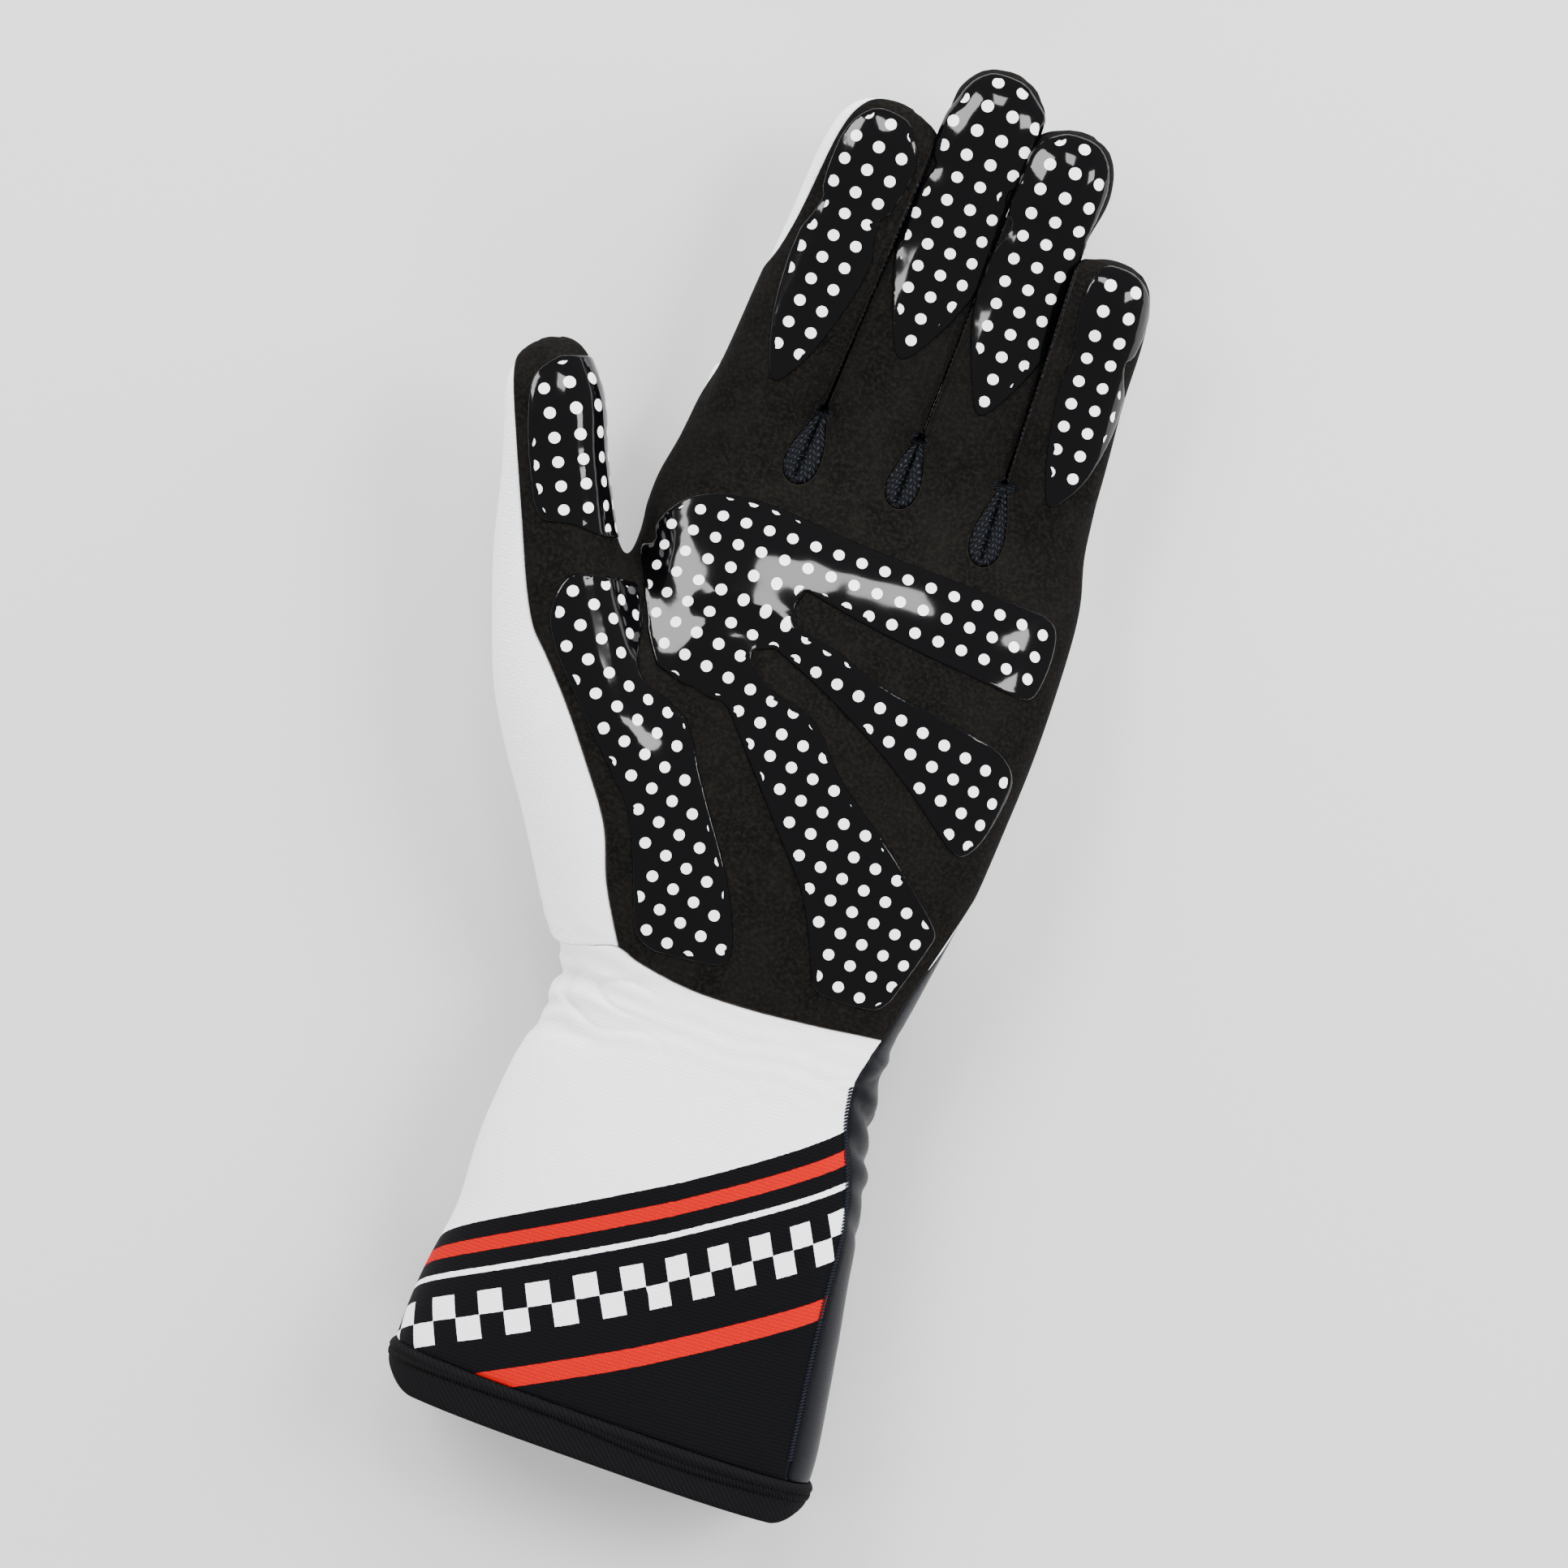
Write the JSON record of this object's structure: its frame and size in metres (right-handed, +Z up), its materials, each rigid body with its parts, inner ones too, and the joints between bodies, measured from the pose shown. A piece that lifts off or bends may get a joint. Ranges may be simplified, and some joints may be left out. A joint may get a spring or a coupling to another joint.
{
  "type": "karting glove",
  "caption": "Left-hand karting glove with suede palm, raised silicone grip patches, stretch side gusset and a long printed cuff, lying palm up.",
  "frame": {"origin": "middle of the bounding box's footprint, on the surface that the back of the glove lies on", "axes": "+Y from the cuff to the fingertips, +X towards the little finger, +Z up out of the palm"},
  "size_m": [0.1282, 0.306, 0.0409],
  "materials": {
    "suede": "matt synthetic suede with a fine nap",
    "white_cloth": "white stretch cloth, fine knit",
    "printed_cloth": "white stretch cloth printed in black and red",
    "satin": "black stretch satin",
    "twill": "black twill, folded and overlocked",
    "ribbed_knit": "dark ribbed knit",
    "silicone": "glossy black silicone with white dots"
  },
  "bodies": {
    "root": {"palm_panel": "suede", "back_panel": "white_cloth", "cuff_panel": "printed_cloth", "side_gusset": "satin", "cuff_hem": "twill", "fourchette_index_middle": "ribbed_knit", "fourchette_middle_ring": "ribbed_knit", "fourchette_ring_little": "ribbed_knit", "index_grip": "silicone", "middle_grip": "silicone", "ring_grip": "silicone", "little_grip": "silicone", "thumb_grip": "silicone", "thenar_grip": "silicone", "palm_grip": "silicone"}
  },
  "joints": []
}
